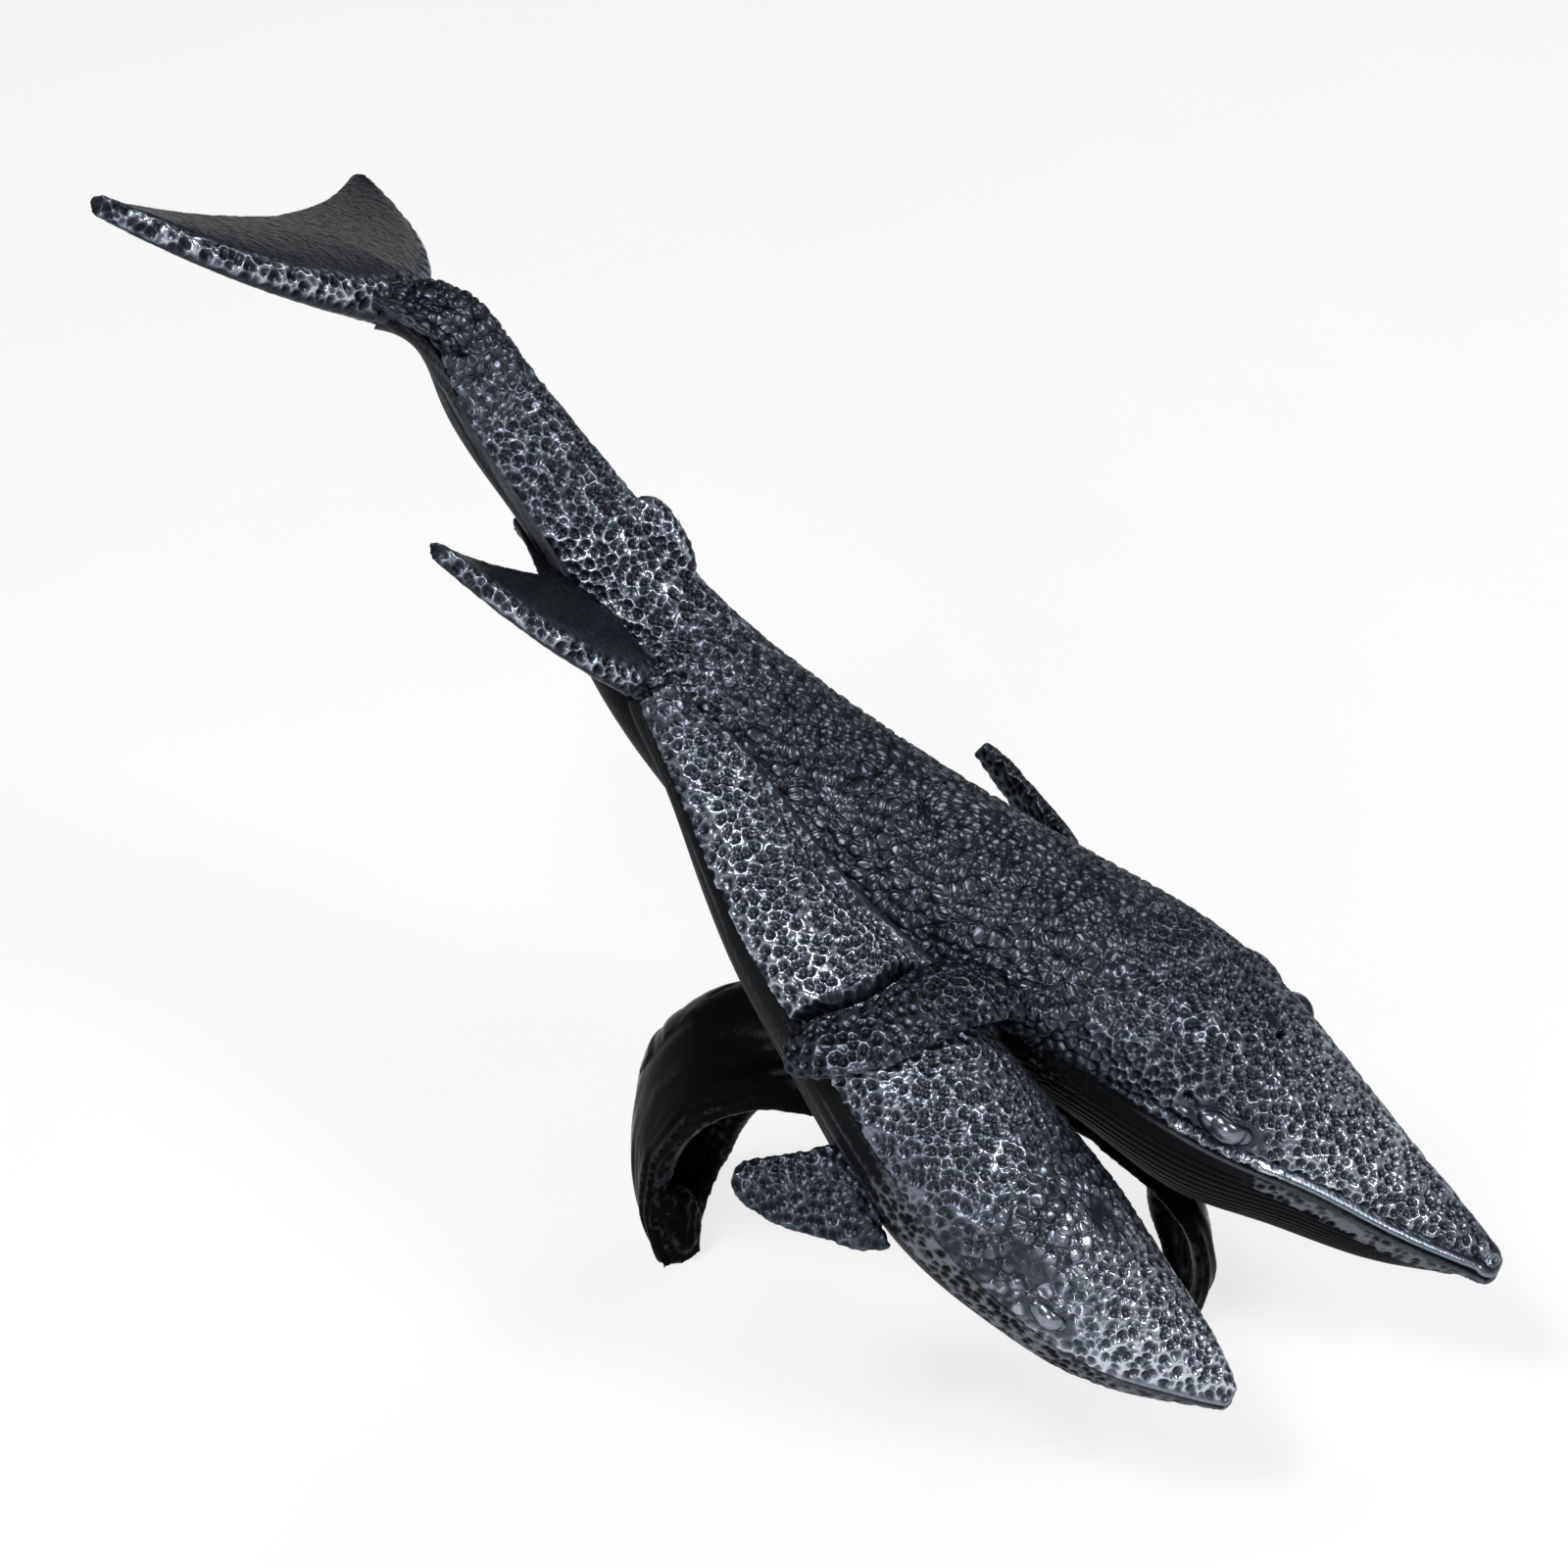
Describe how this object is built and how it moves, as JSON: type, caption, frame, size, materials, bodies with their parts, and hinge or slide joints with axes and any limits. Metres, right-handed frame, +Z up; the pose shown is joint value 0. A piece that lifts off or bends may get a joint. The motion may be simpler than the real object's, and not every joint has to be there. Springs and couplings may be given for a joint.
{
  "type": "whale figurine",
  "caption": "Tabletop figurine of a mother whale and her calf diving side by side over a black curling wave, which stands on the table and carries them both.",
  "frame": {"origin": "on the floor, under the middle of the ornament's bounding box", "axes": "+X is the mother's heading, +Y her left side, +Z up"},
  "size_m": [0.3696, 0.174, 0.3046],
  "materials": {
    "whale_back": "painted slate, silver dry-brushed over the raised skin",
    "whale_belly": "painted charcoal, smooth",
    "wave": "black, semi-gloss",
    "steel": "plain steel"
  },
  "bodies": {
    "root": {"mother_back": "whale_back", "mother_flukes": "whale_back", "mother_right_flipper": "whale_back", "mother_left_flipper": "whale_back", "calf_back": "whale_back", "calf_flukes": "whale_back", "calf_right_flipper": "whale_back", "calf_left_flipper": "whale_back", "mother_belly": "whale_belly", "calf_belly": "whale_belly", "wave_base": "wave", "mother_dowels": "steel", "mother_fluke_pin": "steel", "mother_flipper_pins": "steel", "calf_dowels": "steel", "calf_fluke_pin": "steel", "calf_flipper_pins": "steel", "calf_tie_pins": "steel", "mount_screws": "steel", "mount_washers": "steel"}
  },
  "joints": []
}
